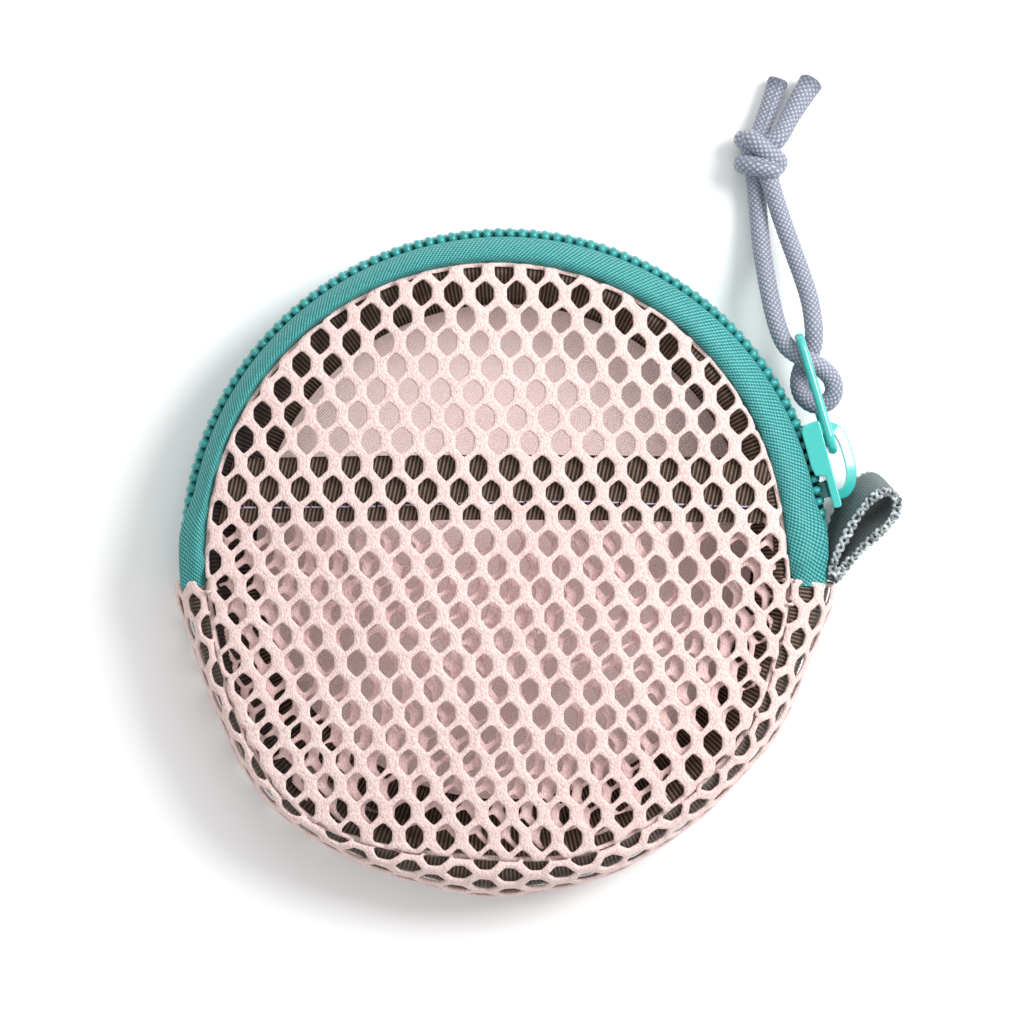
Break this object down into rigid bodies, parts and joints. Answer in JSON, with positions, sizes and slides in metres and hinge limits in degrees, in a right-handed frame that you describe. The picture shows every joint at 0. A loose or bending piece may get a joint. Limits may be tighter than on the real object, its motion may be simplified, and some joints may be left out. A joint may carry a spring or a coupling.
{
  "type": "mesh zip pouch",
  "caption": "Small round mesh pouch with a curved coil zipper, a slider on a wire loop with a knotted pull cord, an inner slip pocket and a webbing tab.",
  "frame": {"origin": "centre of the zipper's circle, on the face the back panel rests on", "axes": "+Z from the back panel to the mesh front, +Y towards the top of the zipper's arc, +X towards the slider"},
  "size_m": [0.1034, 0.1177, 0.0196],
  "materials": {
    "pink_mesh": "warp-knit polyester mesh",
    "pink_fabric": "plain woven fabric",
    "grosgrain": "ribbed ribbon",
    "thread": "sewing thread",
    "zipper_tape": "woven herringbone tape",
    "zipper_coil": "polyester monofilament",
    "slider_paint": "gloss enamel on die-cast zinc",
    "bare_metal": "spring steel",
    "cord": "braided polyester",
    "webbing": "woven with pale flecked edges"
  },
  "bodies": {
    "pouch": {"front_mesh_panel": "pink_mesh", "back_panel": "pink_fabric", "gusset_mesh": "pink_mesh", "gusset_lining_ribbon": "grosgrain", "pocket_mesh": "pink_mesh", "pocket_binding": "grosgrain", "front_seam_binding": "grosgrain", "back_seam_binding": "grosgrain", "front_zipper_tape": "zipper_tape", "back_zipper_tape": "zipper_tape", "front_zipper_coil": "zipper_coil", "back_zipper_coil": "zipper_coil"},
    "slider": {"slider_body": "slider_paint", "slider_crown": "slider_paint"},
    "lock_pin": {"slider_lock_pin": "bare_metal"},
    "puller": {"pull_loop": "slider_paint", "pull_cord_bight": "cord"},
    "cord": {"pull_cord_strands": "cord", "pull_cord_knot": "cord", "pull_cord_ends": "cord"},
    "side_tab": {"side_tab_loop": "webbing"}
  },
  "joints": [
    {"name": "slider_travel", "type": "hinge", "parent": "pouch", "child": "slider", "pos_m": [0, 0, 0.0086], "axis": [0, 0, 1], "range_deg": [0, 150]},
    {"name": "puller_swing", "type": "hinge", "parent": "slider", "child": "puller", "pos_m": [0.0469, 0.0146, 0.0086], "axis": [0, 0, 1], "range_deg": [-100, 0]},
    {"name": "lock_pin_lift", "type": "slide", "parent": "slider", "child": "lock_pin", "axis": [0.965, 0.2622, 0], "range_m": [0, 0.0006]},
    {"name": "cord_swing", "type": "hinge", "parent": "puller", "child": "cord", "pos_m": [0.0421, 0.0306, 0.0086], "axis": [0, 0, 1], "range_deg": [-30, 10]},
    {"name": "side_tab_flex", "type": "hinge", "parent": "pouch", "child": "side_tab", "pos_m": [0.0475, -0.004, 0.0086], "axis": [0, 0, 1], "range_deg": [-30, 0]}
  ],
  "couplings": [
    {"joint": "lock_pin_lift", "follows": "puller_swing", "m_per_rad": -0.00034}
  ]
}
